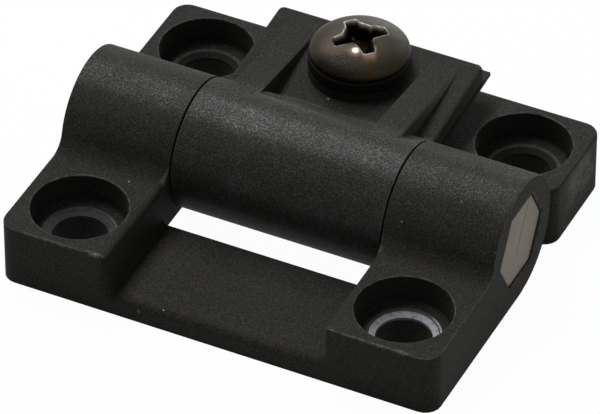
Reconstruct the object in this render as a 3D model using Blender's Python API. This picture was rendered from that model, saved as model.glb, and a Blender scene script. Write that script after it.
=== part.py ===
"""An adjustable friction hinge, lying open flat on its mounting plane.

The pin runs along X, the front leaf reaches towards -Y, the rear leaf towards +Y, and +Z is up.
The origin lies on the mounting plane, in the middle of the open hinge. Units are metres.

The front leaf carries two outer knuckles whose hexagonal sockets hold a hexagonal shaft. The shaft
turns with that leaf. Two half sleeves fit its flats and are round outside. The centre barrel of the
rear leaf is split along its back and wraps the sleeves. Its upper arm stands over the leaf, and the
adjusting screw pulls the arm down to tighten the barrel, so that the leaf stays where it is put.
"""

from math import acos, asin, atan2, cos, pi, radians, sin, sqrt, tan

import bmesh
import bpy
from mathutils import Matrix, Vector

MM = 0.001

# Overall
HINGE_WIDTH = 67.0 * MM
KNUCKLE_WIDTH = 17.0 * MM
FRONT_REACH = 28.7 * MM
REAR_REACH = 27.8 * MM
PAD_HEIGHT = 9.7 * MM
PAD_CORNER_RADIUS = 2.4 * MM
PAD_INNER_RADIUS = 1.4 * MM
EDGE_ROUND = 0.45 * MM

# Shaft, sleeves and barrel, from the inside out
SHAFT_FLATS = 11.8 * MM
SHAFT_SETBACK = 0.4 * MM
SHAFT_EDGE = 0.5 * MM
SLEEVE_WALL = 0.9 * MM
SLEEVE_SPLIT = 0.5 * MM
BARREL_WALL = 1.6 * MM

# Front leaf
KNUCKLE_FILLET = 3.0 * MM
BRIDGE_HEIGHT = 3.3 * MM
BRIDGE_DEPTH = 17.0 * MM
BRIDGE_NOSE_DROP = 1.4 * MM
INNER_FILLET = 1.0 * MM
PAD_SOFT_EDGE = 1.2 * MM
SOFT_EDGE_END = 0.15 * MM
WINDOW_RELIEF_START = 0.3 * MM
WINDOW_RELIEF_HEIGHT = 1.7 * MM
WINDOW_RELIEF_INSET = 0.9 * MM

# Rear leaf
REAR_PAD_CLEARANCE = 1.3 * MM
ARM_THICKNESS = 3.3 * MM
ARM_RISE = radians(4.9)
ARM_REACH = 25.4 * MM
ARM_SIDE_INSET = 0.15 * MM
ARM_CORNER_RADIUS = 0.9 * MM
ARM_EDGE_ROUND = 0.5 * MM
ARM_LIP = 0.6 * MM
ARM_LIP_REACH = 27.2 * MM
SLIT_HEIGHT = 2.0 * MM
RIB_START_SHARE = 0.157
RIB_WIDTH_SHARE = 0.509
RIB_EDGE_ROUND = 0.45 * MM
RIB_REACH = 24.2 * MM
RIB_SINK = 0.04 * MM

# Mounting holes
HOLE_TO_EDGE = 8.4 * MM
HOLE_RADIUS = 4.0 * MM
COUNTERBORE_RADIUS = 6.92 * MM
COUNTERBORE_DEPTH = 4.4 * MM
COUNTERBORE_DRAFT = radians(3.0)
COUNTERBORE_FILLET = 0.6 * MM
COUNTERBORE_MOUTH_ROUND = 0.2 * MM
HOLE_CHAMFER_RADIUS = 5.2 * MM
HOLE_CHAMFER_DEPTH = 0.6 * MM

# Adjusting screw, its washer and its nut
SCREW_TO_AXIS = 17.95 * MM
SCREW_RADIUS = 3.17 * MM
SCREW_FOOT = 0.8 * MM
SCREW_HOLE_CLEARANCE = 0.35 * MM
HEAD_RADIUS = 7.22 * MM
HEAD_HEIGHT = 2.75 * MM
HEAD_RIM = 0.3 * MM
RECESS_REACH = 4.0 * MM
RECESS_WIDTH = 1.9 * MM
RECESS_DEPTH = 2.5 * MM
RECESS_FLANK = radians(27)
RECESS_TURN = radians(46)
WASHER_RADIUS = 7.36 * MM
WASHER_THICKNESS = 1.8 * MM
SEAT_BOSS_RISE = 0.75 * MM
NUT_FLATS = 11.1 * MM
NUT_THICKNESS = 5.5 * MM

# Fits
SIDE_GAP = 0.3 * MM
SEAT_GAP = 0.15 * MM
FLAT_GAP = 0.15 * MM
RUNNING_GAP = 0.1 * MM

# Facets
ROUND_STEPS = 64
HOLE_STEPS = 40
CORNER_STEPS = 5

# Worked out from the driving sizes
HALF_WIDTH = HINGE_WIDTH / 2
KNUCKLE_INNER = HALF_WIDTH - KNUCKLE_WIDTH
BARREL_HALF = KNUCKLE_INNER - SIDE_GAP
RIB_SPACE = BARREL_HALF - WASHER_RADIUS
RIB_INNER = WASHER_RADIUS + RIB_SPACE * RIB_START_SHARE
RIB_WIDTH = RIB_SPACE * RIB_WIDTH_SHARE
SOCKET_FLATS = SHAFT_FLATS + 2 * FLAT_GAP
SLEEVE_RADIUS = SOCKET_FLATS / sqrt(3) + SLEEVE_WALL
BARREL_BORE = SLEEVE_RADIUS + RUNNING_GAP
BARREL_RADIUS = BARREL_BORE + BARREL_WALL
AXIS_Z = BARREL_RADIUS
REAR_PAD_FRONT = BARREL_RADIUS + REAR_PAD_CLEARANCE
HOLE_X = HALF_WIDTH - KNUCKLE_WIDTH / 2
HOLES = {
    "front_left": (-HOLE_X, HOLE_TO_EDGE - FRONT_REACH),
    "front_right": (HOLE_X, HOLE_TO_EDGE - FRONT_REACH),
    "rear_left": (-HOLE_X, REAR_REACH - HOLE_TO_EDGE),
    "rear_right": (HOLE_X, REAR_REACH - HOLE_TO_EDGE),
}
SLIT_FLOOR = PAD_HEIGHT
CLEAR = 5 * MM

# The origin is the middle of the open hinge, so the pin stands off it by this much
PIN_Y = (FRONT_REACH - REAR_REACH) / 2


def arm_under(y):
    """Height of the arm's underside, which rises from the bore towards the rear."""
    return SLIT_FLOOR + SLIT_HEIGHT + (y - BARREL_BORE) * tan(ARM_RISE)


def arm_top(y):
    return arm_under(y) + ARM_THICKNESS


BOSS_TOP = arm_top(SCREW_TO_AXIS) + SEAT_BOSS_RISE
WASHER_FOOT = BOSS_TOP + SEAT_GAP
HEAD_FOOT = WASHER_FOOT + WASHER_THICKNESS + SEAT_GAP
NUT_TOP = SCREW_FOOT + NUT_THICKNESS


def near(a, b):
    return abs(a - b) < MM / 1000


def arc(centre, radius, start, end, steps):
    """Points of an arc in the outline's own plane, both ends included."""
    return [
        (
            centre[0] + radius * cos(start + (end - start) * i / steps),
            centre[1] + radius * sin(start + (end - start) * i / steps),
        )
        for i in range(steps + 1)
    ]


def hexagon(flats, centre=(0.0, 0.0), turn=0.0):
    """A hexagon with a corner along its first axis before it is turned."""
    reach = flats / sqrt(3)
    return arc(centre, reach, turn, turn + 2 * pi, 6)[:-1]


def as_object(name, shape):
    bmesh.ops.remove_doubles(shape, verts=shape.verts, dist=MM / 10000)
    bmesh.ops.recalc_face_normals(shape, faces=shape.faces)
    mesh = bpy.data.meshes.new(name)
    shape.to_mesh(mesh)
    shape.free()
    body = bpy.data.objects.new(name, mesh)
    bpy.context.scene.collection.objects.link(body)
    return body


def prism(name, outline, axis, low, high):
    """Sweeps a closed outline along X or Z. Its points are (y, z) for X and (x, y) for Z."""
    shape = bmesh.new()
    if axis == "X":
        corners = [shape.verts.new((low, u, v)) for u, v in outline]
        travel = Vector((high - low, 0, 0))
    else:
        corners = [shape.verts.new((u, v, low)) for u, v in outline]
        travel = Vector((0, 0, high - low))
    face = shape.faces.new(corners)
    swept = bmesh.ops.extrude_face_region(shape, geom=[face])
    moved = [v for v in swept["geom"] if isinstance(v, bmesh.types.BMVert)]
    bmesh.ops.translate(shape, verts=moved, vec=travel)
    return as_object(name, shape)


def turned(name, profile, centre, steps, closed=False):
    """Turns a profile of (radius, height) points about a vertical line through centre.

    A flat end becomes one face, with no point in its middle.
    """
    shape = bmesh.new()
    chain = [shape.verts.new((centre[0] + r, centre[1], z)) for r, z in profile]
    edges = [shape.edges.new(pair) for pair in zip(chain, chain[1:])]
    if closed:
        edges.append(shape.edges.new((chain[-1], chain[0])))
    bmesh.ops.spin(
        shape,
        geom=chain + edges,
        cent=(centre[0], centre[1], 0),
        axis=(0, 0, 1),
        angle=2 * pi,
        steps=steps,
    )
    bmesh.ops.remove_doubles(shape, verts=shape.verts, dist=MM / 10000)
    flat = [
        v
        for v in shape.verts
        if all(near(v.co.z, e.other_vert(v).co.z) for e in v.link_edges)
    ]
    bmesh.ops.dissolve_verts(shape, verts=flat)
    return as_object(name, shape)


def combine(body, tool, operation):
    """Joins, cuts or crosses the body with the tool, which is used up."""
    step = body.modifiers.new(tool.name, "BOOLEAN")
    step.operation = operation
    step.object = tool
    step.solver = "EXACT"
    view = bpy.context.evaluated_depsgraph_get()
    result = bpy.data.meshes.new_from_object(body.evaluated_get(view))
    body.modifiers.clear()
    body.data = result
    bpy.data.objects.remove(tool)
    return body


def cut(body, tool):
    return combine(body, tool, "DIFFERENCE")


def join(body, tool):
    return combine(body, tool, "UNION")


def round_edges(body, pick, width, segments):
    """Rounds the edges whose two end points both pass the test pick(a, b)."""
    shape = bmesh.new()
    shape.from_mesh(body.data)
    edges = [e for e in shape.edges if pick(e.verts[0].co, e.verts[1].co)]
    bmesh.ops.bevel(
        shape,
        geom=edges,
        offset=width,
        offset_type="OFFSET",
        segments=segments,
        profile=0.5,
        affect="EDGES",
        clamp_overlap=True,
    )
    shape.to_mesh(body.data)
    shape.free()
    return body


def mounting_hole_cutter(name, spot, top):
    """A drafted counterbore with a filleted floor, a shallow chamfer and a through hole."""
    floor = top - COUNTERBORE_DEPTH
    foot_radius = COUNTERBORE_RADIUS - COUNTERBORE_DEPTH * tan(COUNTERBORE_DRAFT)
    mouth = COUNTERBORE_MOUTH_ROUND
    fillet = arc(
        (foot_radius - COUNTERBORE_FILLET, floor + COUNTERBORE_FILLET),
        COUNTERBORE_FILLET,
        0,
        -pi / 2,
        3,
    )
    profile = [(0, top + CLEAR), (COUNTERBORE_RADIUS + mouth, top + CLEAR)]
    profile += arc((COUNTERBORE_RADIUS + mouth, top - mouth), mouth, pi / 2, pi, 3)
    profile += fillet
    profile += [
        (HOLE_CHAMFER_RADIUS, floor),
        (HOLE_RADIUS, floor - HOLE_CHAMFER_DEPTH),
        (HOLE_RADIUS, -CLEAR),
        (0, -CLEAR),
    ]
    return turned(name, profile, spot, HOLE_STEPS)


def loft(name, sections):
    """Joins matching closed sections of (x, y, z) points into one solid."""
    shape = bmesh.new()
    rings = [[shape.verts.new(point) for point in section] for section in sections]
    for ring, following in zip(rings, rings[1:]):
        for i, corner in enumerate(ring):
            shape.faces.new((ring[i - 1], corner, following[i], following[i - 1]))
    shape.faces.new(rings[0])
    shape.faces.new(rings[-1])
    bmesh.ops.triangulate(shape, faces=shape.faces)
    return as_object(name, shape)


def bridge_opening():
    """The space over the bridge, whose nose and the pads' front corners it rounds."""
    top = AXIS_Z + BARREL_RADIUS + CLEAR
    start = PAD_INNER_RADIUS - FRONT_REACH
    stations = [(BRIDGE_DEPTH - FRONT_REACH + MM, 0)]
    for i in range(CORNER_STEPS + 1):
        turn = pi / 2 * i / CORNER_STEPS
        stations.append((start - PAD_INNER_RADIUS * sin(turn), 1 - cos(turn)))
    stations.append((-FRONT_REACH - CLEAR, 1))
    foot = INNER_FILLET
    sections = []
    for y, share in stations:
        half = KNUCKLE_INNER + PAD_INNER_RADIUS * share
        floor = BRIDGE_HEIGHT - BRIDGE_NOSE_DROP * share
        corner = arc((half - foot, floor + foot), foot, -pi / 2, 0, 3)
        right = corner + [(half, top)]
        left = [(-x, z) for x, z in reversed(right)]
        sections.append([(x, y, z) for x, z in left + right])
    return loft("bridge_opening", sections)


def window():
    """The opening between the bridge and the rear leaf, wider along its lower edges."""
    front = BRIDGE_DEPTH - FRONT_REACH
    rear = BARREL_RADIUS + CLEAR
    outline = [(front, -CLEAR), (rear, -CLEAR), (rear, rear + AXIS_Z), (front, rear + AXIS_Z)]
    return prism("window", outline, "X", -KNUCKLE_INNER, KNUCKLE_INNER)


def window_relief(side):
    """Cuts a pad back along the lower edge of the window."""
    low, high = sorted((side * (KNUCKLE_INNER - MM), side * (KNUCKLE_INNER + WINDOW_RELIEF_INSET)))
    front = BRIDGE_DEPTH - FRONT_REACH + WINDOW_RELIEF_START
    height = WINDOW_RELIEF_HEIGHT
    outline = [(front, -CLEAR), (-height, -CLEAR), (-height, height), (front, height)]
    return prism("window_relief", outline, "X", low, high)


def edge_softener(side, fillet):
    """Rounds a pad's inner top edge, by less and less where the edge climbs the knuckle."""
    full = PAD_SOFT_EDGE
    stations = [(-FRONT_REACH - CLEAR, PAD_HEIGHT, full), (fillet[0][0] - CLEAR, PAD_HEIGHT, full)]
    for i, (y, z) in enumerate(fillet):
        share = 1 - (i + 1) / len(fillet)
        stations.append((y, z, SOFT_EDGE_END + (full - SOFT_EDGE_END) * share))
    sections = []
    for y, z, radius in stations:
        centre = (KNUCKLE_INNER + radius, z - radius)
        section = [(centre[0], z + MM), (KNUCKLE_INNER - MM, z + MM)]
        section += [(KNUCKLE_INNER - MM, centre[1])] + arc(centre, radius, pi, pi / 2, 4)
        sections.append([(side * x, y, height) for x, height in section])
    return loft("edge_softener", sections)


def front_leaf():
    """Two pads with their knuckles, joined by a low bridge along the front edge."""
    lift = PAD_HEIGHT + KNUCKLE_FILLET - AXIS_Z
    run = sqrt((BARREL_RADIUS + KNUCKLE_FILLET) ** 2 - lift**2)
    meet = atan2(lift, -run)
    outline = [(-FRONT_REACH, 0)]
    outline += arc((0, AXIS_Z), BARREL_RADIUS, -pi / 2, meet, ROUND_STEPS * 5 // 8)
    fillet = arc((-run, PAD_HEIGHT + KNUCKLE_FILLET), KNUCKLE_FILLET, meet - pi, -pi / 2, 10)
    outline += fillet[1:]
    outline += [(-FRONT_REACH, PAD_HEIGHT)]
    leaf = prism("front_leaf", outline, "X", -HALF_WIDTH, HALF_WIDTH)

    def outer_corner(a, b):
        at_end = near(abs(a.x), HALF_WIDTH) and near(a.x, b.x)
        return at_end and near(a.y, -FRONT_REACH) and near(b.y, -FRONT_REACH)

    round_edges(leaf, outer_corner, PAD_CORNER_RADIUS, CORNER_STEPS)

    def outer_rim(a, b):
        raised = a.z > MM / 100 and b.z > MM / 100
        on_end = near(abs(a.x), HALF_WIDTH) and near(abs(b.x), HALF_WIDTH) and near(a.x, b.x)
        on_pad = near(a.z, PAD_HEIGHT) and near(b.z, PAD_HEIGHT)
        outside = min(a.y, b.y) < PAD_CORNER_RADIUS - FRONT_REACH and not near(a.x, -b.x)
        front = near(a.y, -FRONT_REACH) and near(b.y, -FRONT_REACH)
        upright = near(a.x, b.x) and near(a.y, b.y)
        return raised and not upright and (on_end or (on_pad and (outside or front)))

    round_edges(leaf, outer_rim, EDGE_ROUND, 2)

    cut(leaf, window())
    cut(leaf, bridge_opening())
    for side in (-1, 1):
        cut(leaf, window_relief(side))
        cut(leaf, edge_softener(side, fillet[::-1]))
    socket = hexagon(SOCKET_FLATS, (0, AXIS_Z))
    cut(leaf, prism("socket", socket, "X", -HALF_WIDTH - CLEAR, HALF_WIDTH + CLEAR))
    for side in ("front_left", "front_right"):
        cut(leaf, mounting_hole_cutter(side, HOLES[side], PAD_HEIGHT))
    return leaf


def rear_plate():
    """The flat of the rear leaf with its rounded corners, and its two pads beside the barrel."""
    corner = PAD_CORNER_RADIUS
    inner = HALF_WIDTH - corner
    outline = arc((inner, REAR_REACH - corner), corner, 0, pi / 2, CORNER_STEPS)
    outline += arc((-inner, REAR_REACH - corner), corner, pi / 2, pi, CORNER_STEPS)
    outline += arc((-inner, REAR_PAD_FRONT + corner), corner, pi, pi * 1.5, CORNER_STEPS)
    outline += arc((inner, REAR_PAD_FRONT + corner), corner, pi * 1.5, pi * 2, CORNER_STEPS)
    plate = prism("rear_leaf", outline, "Z", 0, PAD_HEIGHT)

    def top_rim(a, b):
        return near(a.z, PAD_HEIGHT) and near(b.z, PAD_HEIGHT)

    return round_edges(plate, top_rim, EDGE_ROUND, 2)


def split_barrel():
    """The centre barrel with its bore, the slit along its back and the lip under the arm."""
    lower_lip = asin((SLIT_FLOOR - AXIS_Z) / BARREL_BORE)
    rise = tan(ARM_RISE)
    start = arm_under(0) - AXIS_Z
    steepness = 1 + rise**2
    root = sqrt((start * rise) ** 2 - steepness * (start**2 - BARREL_BORE**2))
    lip_y = (root - start * rise) / steepness
    upper_lip = atan2(arm_under(lip_y) - AXIS_Z, lip_y)
    lip_start = arm_under(0) + ARM_LIP - AXIS_Z
    root = sqrt((lip_start * rise) ** 2 - steepness * (lip_start**2 - BARREL_RADIUS**2))
    outer_y = (root - lip_start * rise) / steepness
    outer_angle = atan2(arm_under(outer_y) + ARM_LIP - AXIS_Z, outer_y)
    heel = REAR_PAD_FRONT + PAD_CORNER_RADIUS
    outline = [(0, 0), (heel, 0), (heel, SLIT_FLOOR)]
    outline += arc((0, AXIS_Z), BARREL_BORE, lower_lip, upper_lip - 2 * pi, ROUND_STEPS)
    outline += [
        (ARM_LIP_REACH, arm_under(ARM_LIP_REACH)),
        (ARM_LIP_REACH, arm_under(ARM_LIP_REACH) + ARM_LIP),
    ]
    outline += arc((0, AXIS_Z), BARREL_RADIUS, outer_angle, pi * 1.5, ROUND_STEPS * 3 // 4)[:-1]
    return prism("barrel", outline, "X", -BARREL_HALF, BARREL_HALF)


def barrel_shoulder(start, end):
    """Points inside the barrel's wall, for solids that grow out of it."""
    depth = BARREL_BORE + BARREL_WALL / 2
    return arc((0, AXIS_Z), depth, start, end, 6)


def clamping_arm():
    """The arm's main slab over the slit, rounded at its free end."""
    half = BARREL_HALF - ARM_SIDE_INSET
    under = ARM_LIP / 2
    inside = barrel_shoulder(radians(22), radians(32))
    outline = inside[:1]
    outline += [(ARM_REACH, arm_under(ARM_REACH) + under), (ARM_REACH, arm_top(ARM_REACH))]
    outline += [(inside[-1][0], arm_top(inside[-1][0]))]
    outline += inside[:0:-1]
    arm = prism("arm", outline, "X", -half, half)

    def free_corner(a, b):
        return near(a.y, ARM_REACH) and near(b.y, ARM_REACH) and near(a.x, b.x)

    round_edges(arm, free_corner, ARM_CORNER_RADIUS, 4)

    def top_rim(a, b):
        on_top = near(a.z, arm_top(a.y)) and near(b.z, arm_top(b.y))
        return on_top and max(a.y, b.y) > BARREL_RADIUS

    return round_edges(arm, top_rim, ARM_EDGE_ROUND, 2)


def stiffening_rib(name, side):
    """A wedge that leaves the top of the barrel nearly at a tangent and runs out on the arm."""
    reach_z = arm_top(RIB_REACH) - RIB_SINK - AXIS_Z
    start = BARREL_RADIUS - RIB_SINK
    leave = atan2(reach_z, RIB_REACH) + acos(start / sqrt(RIB_REACH**2 + reach_z**2))
    tangent = (start * cos(leave), AXIS_Z + start * sin(leave))
    buried = ARM_THICKNESS / 3
    outline = [tangent] + barrel_shoulder(leave, radians(30))
    outline += [(RIB_REACH, AXIS_Z + reach_z - buried), (RIB_REACH, AXIS_Z + reach_z)]
    low, high = sorted((side * RIB_INNER, side * (RIB_INNER + RIB_WIDTH)))
    rib = prism(name, outline, "X", low, high)

    def top_edge(a, b):
        ends = sorted((a, b), key=lambda point: point.y)
        from_barrel = near(ends[0].y, tangent[0]) and near(ends[0].z, tangent[1])
        return from_barrel and near(ends[1].y, RIB_REACH) and near(a.x, b.x)

    return round_edges(rib, top_edge, RIB_EDGE_ROUND, 2)


def rear_leaf():
    """Plate, split barrel and arm in one moulding, with the screw's seat and the nut's pocket."""
    leaf = rear_plate()
    join(leaf, split_barrel())
    join(leaf, clamping_arm())
    for name, side in (("left_rib", -1), ("right_rib", 1)):
        join(leaf, stiffening_rib(name, side))
    spot = (0, SCREW_TO_AXIS)
    sunk = arm_top(SCREW_TO_AXIS) - ARM_THICKNESS / 2
    boss = [(0, sunk), (WASHER_RADIUS, sunk), (WASHER_RADIUS, BOSS_TOP), (0, BOSS_TOP)]
    join(leaf, turned("seat_boss", boss, spot, HOLE_STEPS))
    clearance = SCREW_RADIUS + SCREW_HOLE_CLEARANCE
    bore = [(0, -CLEAR), (clearance, -CLEAR), (clearance, BOSS_TOP + CLEAR), (0, BOSS_TOP + CLEAR)]
    cut(leaf, turned("screw_bore", bore, spot, HOLE_STEPS))
    pocket = hexagon(NUT_FLATS + 2 * FLAT_GAP, spot, pi / 6)
    cut(leaf, prism("nut_pocket", pocket, "Z", -CLEAR, NUT_TOP + SEAT_GAP))
    for side in ("rear_left", "rear_right"):
        cut(leaf, mounting_hole_cutter(side, HOLES[side], PAD_HEIGHT))
    return leaf


def hex_shaft():
    """A hexagonal bar with softened long edges, set back a little in both knuckles."""
    reach = HALF_WIDTH - SHAFT_SETBACK
    shaft = prism("hex_shaft", hexagon(SHAFT_FLATS, (0, AXIS_Z)), "X", -reach, reach)

    def long_edge(a, b):
        return near(a.y, b.y) and near(a.z, b.z)

    return round_edges(shaft, long_edge, SHAFT_EDGE, 2)


def friction_sleeve(name, side):
    """One half of the split sleeve: half a hexagon inside, half a circle outside."""
    half_split = SLEEVE_SPLIT / 2
    reach = SOCKET_FLATS / sqrt(3)
    start = asin(half_split / SLEEVE_RADIUS)
    mouth = reach - half_split / sqrt(3)
    outline = arc((0, 0), SLEEVE_RADIUS, start, pi - start, ROUND_STEPS // 2)
    outline += [
        (-mouth, half_split),
        (-reach / 2, SOCKET_FLATS / 2),
        (reach / 2, SOCKET_FLATS / 2),
        (mouth, half_split),
    ]
    outline = [(y, AXIS_Z + side * z) for y, z in outline]
    reach = BARREL_HALF - SEAT_GAP
    return prism(name, outline, "X", -reach, reach)


def cross_recess_cutter(top):
    """Two tapered bars that cross over a pointed core."""
    floor = top - RECESS_DEPTH
    bars = []
    for name, turn in (("first_bar", 0), ("second_bar", pi / 2)):
        taper = RECESS_DEPTH * tan(RECESS_FLANK)
        reach_top = RECESS_REACH + CLEAR * tan(RECESS_FLANK)
        outline = [
            (-RECESS_REACH + taper, floor),
            (RECESS_REACH - taper, floor),
            (reach_top, top + CLEAR),
            (-reach_top, top + CLEAR),
        ]
        bar = prism(name, outline, "X", -RECESS_WIDTH / 2, RECESS_WIDTH / 2)
        turn_about = Matrix.Translation((0, SCREW_TO_AXIS, 0)) @ Matrix.Rotation(turn, 4, "Z")
        bar.data.transform(turn_about)
        bars.append(bar)
    cross = join(*bars)
    core_radius = RECESS_WIDTH * 1.1
    core = [
        (0, floor - RECESS_WIDTH / 3),
        (core_radius / 2, floor),
        (core_radius, top + CLEAR),
        (0, top + CLEAR),
    ]
    return join(cross, turned("core", core, (0, SCREW_TO_AXIS), 8))


def adjusting_screw():
    """A low round head with a cross recess on a plain shank. The thread is left out."""
    crown = HEAD_HEIGHT - HEAD_RIM
    profile = [(0, SCREW_FOOT), (SCREW_RADIUS - SCREW_RADIUS / 6, SCREW_FOOT)]
    profile += [(SCREW_RADIUS, SCREW_FOOT + SCREW_RADIUS / 6), (SCREW_RADIUS, HEAD_FOOT)]
    profile += [(HEAD_RADIUS - HEAD_RIM / 3, HEAD_FOOT), (HEAD_RADIUS, HEAD_FOOT + HEAD_RIM / 3)]
    profile += [
        (HEAD_RADIUS * cos(t) ** 0.8, HEAD_FOOT + HEAD_RIM + crown * sin(t))
        for t in (pi / 2 * i / 9 for i in range(9))
    ]
    profile += [(0, HEAD_FOOT + HEAD_HEIGHT)]
    screw = turned("adjusting_screw", profile, (0, SCREW_TO_AXIS), ROUND_STEPS * 3 // 4)
    recess = cross_recess_cutter(HEAD_FOOT + HEAD_HEIGHT)
    spin = Matrix.Rotation(RECESS_TURN, 4, "Z")
    home = Matrix.Translation((0, SCREW_TO_AXIS, 0))
    recess.data.transform(home @ spin @ home.inverted())
    return cut(screw, recess)


def screw_washer():
    bore = SCREW_RADIUS + SCREW_HOLE_CLEARANCE
    top = WASHER_FOOT + WASHER_THICKNESS
    profile = [(bore, WASHER_FOOT), (WASHER_RADIUS, WASHER_FOOT), (WASHER_RADIUS, top), (bore, top)]
    return turned("screw_washer", profile, (0, SCREW_TO_AXIS), HOLE_STEPS, closed=True)


def captive_nut():
    """A hexagonal nut with chamfered corners, held in its pocket from below."""
    spot = (0, SCREW_TO_AXIS)
    nut = prism("captive_nut", hexagon(NUT_FLATS, spot, pi / 6), "Z", SCREW_FOOT, NUT_TOP)
    corner = NUT_FLATS / sqrt(3)
    drop = (corner - NUT_FLATS / 2) * tan(radians(30))
    round_form = [
        (0, SCREW_FOOT),
        (NUT_FLATS / 2, SCREW_FOOT),
        (corner, SCREW_FOOT + drop),
        (corner, NUT_TOP - drop),
        (NUT_FLATS / 2, NUT_TOP),
        (0, NUT_TOP),
    ]
    combine(nut, turned("nut_form", round_form, spot, HOLE_STEPS), "INTERSECT")
    bore = SCREW_RADIUS + RUNNING_GAP
    hole = [(0, -CLEAR), (bore, -CLEAR), (bore, NUT_TOP + CLEAR), (0, NUT_TOP + CLEAR)]
    return cut(nut, turned("nut_bore", hole, spot, HOLE_STEPS))


def finish(body, colour, roughness, metallic):
    """Gives a piece its material and smooth shading between its sharp edges."""
    material = bpy.data.materials.new(body.name)
    material.use_nodes = True
    shader = material.node_tree.nodes["Principled BSDF"]
    shader.inputs["Base Color"].default_value = (*colour, 1)
    shader.inputs["Roughness"].default_value = roughness
    shader.inputs["Metallic"].default_value = metallic
    body.data.materials.clear()
    body.data.materials.append(material)
    body.data.shade_smooth()
    body.data.set_sharp_from_angle(angle=radians(35))


def pivot(name, place):
    empty = bpy.data.objects.new(name, None)
    empty.location = place
    bpy.context.scene.collection.objects.link(empty)
    return empty


def hang_on(empty, *bodies):
    """Puts each body's origin on the pivot without moving its surface."""
    for body in bodies:
        body.data.transform(Matrix.Translation(-empty.location))
        body.parent = empty


def shift_to_origin(*bodies):
    """Moves solids drawn about the pin into the frame of the whole hinge."""
    for body in bodies:
        body.data.transform(Matrix.Translation((0, PIN_Y, 0)))


def main():
    for old in list(bpy.data.objects):
        bpy.data.objects.remove(old)
    front = front_leaf()
    rear = rear_leaf()
    shaft = hex_shaft()
    sleeves = [
        friction_sleeve("upper_friction_sleeve", 1),
        friction_sleeve("lower_friction_sleeve", -1),
    ]
    screw = adjusting_screw()
    washer = screw_washer()
    nut = captive_nut()
    for leaf in (front, rear):
        finish(leaf, (0.018, 0.018, 0.018), 0.55, 0.0)
    finish(shaft, (0.55, 0.52, 0.46), 0.4, 1.0)
    for sleeve in sleeves:
        finish(sleeve, (0.75, 0.73, 0.68), 0.5, 0.0)
    finish(screw, (0.2, 0.18, 0.14), 0.35, 1.0)
    finish(washer, (0.02, 0.02, 0.02), 0.5, 0.6)
    finish(nut, (0.45, 0.44, 0.42), 0.35, 1.0)
    shift_to_origin(front, rear, shaft, *sleeves, screw, washer, nut)
    hang_on(pivot("pin_axis", (0, PIN_Y, AXIS_Z)), front, shaft, *sleeves)
    hang_on(pivot("screw_axis", (0, PIN_Y + SCREW_TO_AXIS, HEAD_FOOT)), screw, washer)


main()
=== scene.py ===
"""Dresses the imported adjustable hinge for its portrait.

Laid out as an add-on and run as a script. Lengths are metres in the frame of the solids: +X along
the pin, +Y towards the clamping leaf, +Z up, with the origin on the mounting plane.
"""

from math import cos, exp, hypot, pi, radians, sin, sqrt

import bmesh
import bpy
from bpy.props import FloatProperty, FloatVectorProperty, IntProperty, PointerProperty
from mathutils import Matrix, Vector


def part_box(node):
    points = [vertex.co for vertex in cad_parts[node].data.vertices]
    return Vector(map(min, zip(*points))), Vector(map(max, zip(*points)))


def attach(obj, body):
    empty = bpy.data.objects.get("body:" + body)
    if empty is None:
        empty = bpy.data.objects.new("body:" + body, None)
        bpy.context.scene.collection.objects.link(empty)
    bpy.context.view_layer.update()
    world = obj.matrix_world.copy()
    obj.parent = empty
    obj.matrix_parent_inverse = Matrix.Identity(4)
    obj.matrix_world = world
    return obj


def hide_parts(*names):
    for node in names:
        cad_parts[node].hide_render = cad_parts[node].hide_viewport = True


bl_info = {
    "name": "Adjustable Hinge",
    "version": (1, 0, 0),
    "blender": (4, 5, 0),
    "location": "3D View > Sidebar > Hinge",
    "description": "Finishes the moulded leaves, shaft, screw and stage of a friction hinge",
    "category": "Object",
}

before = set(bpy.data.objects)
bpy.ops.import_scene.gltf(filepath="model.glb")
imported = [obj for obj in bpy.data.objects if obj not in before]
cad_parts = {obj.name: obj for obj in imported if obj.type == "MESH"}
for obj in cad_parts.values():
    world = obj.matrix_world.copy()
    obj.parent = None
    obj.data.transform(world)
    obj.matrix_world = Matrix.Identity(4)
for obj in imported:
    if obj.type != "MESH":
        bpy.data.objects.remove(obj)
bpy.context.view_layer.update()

MM = 0.001
IMAGE_WIDTH = 600
SENSOR_WIDTH = 36.0

HEAD_LOW, HEAD_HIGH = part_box("adjusting_screw")
WASHER_LOW, WASHER_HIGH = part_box("screw_washer")
SHAFT_LOW, SHAFT_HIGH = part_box("hex_shaft")
SCREW_Y = (HEAD_LOW[1] + HEAD_HIGH[1]) / 2
PIN_Y = 0.45 * MM
AXIS_Z = (SHAFT_LOW[2] + SHAFT_HIGH[2]) / 2
# The barrels reach down to the mounting plane, so their radius is the pin's height
BARREL_RADIUS = AXIS_Z
LEAF_END_X = 33.5 * MM

# Screw holes: the middle of one, then heights and radii of its countersink's tones: a painted
# highlight on the lip, painted shade in the cone and a pale ring
HOLE_X = 25.0 * MM
HOLE_Y = 19.85 * MM
SEAT_TOP = 5.5 * MM
SEAT_FOOT = 4.4 * MM
LIT_LIP_RADIUS = 5.1 * MM
SHADED_CONE_OUTER = 4.9 * MM
SHADED_CONE_INNER = 3.95 * MM
RUBBED_RADIUS = 4.42 * MM
GLINT_EDGE_RADIUS = 5.15 * MM

# Points nearer than this are one point, and flatter corners than these are shaded smooth
MERGE = 0.002 * MM
SKIN_SMOOTH = radians(32)
SCREW_SMOOTH = radians(50)


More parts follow.
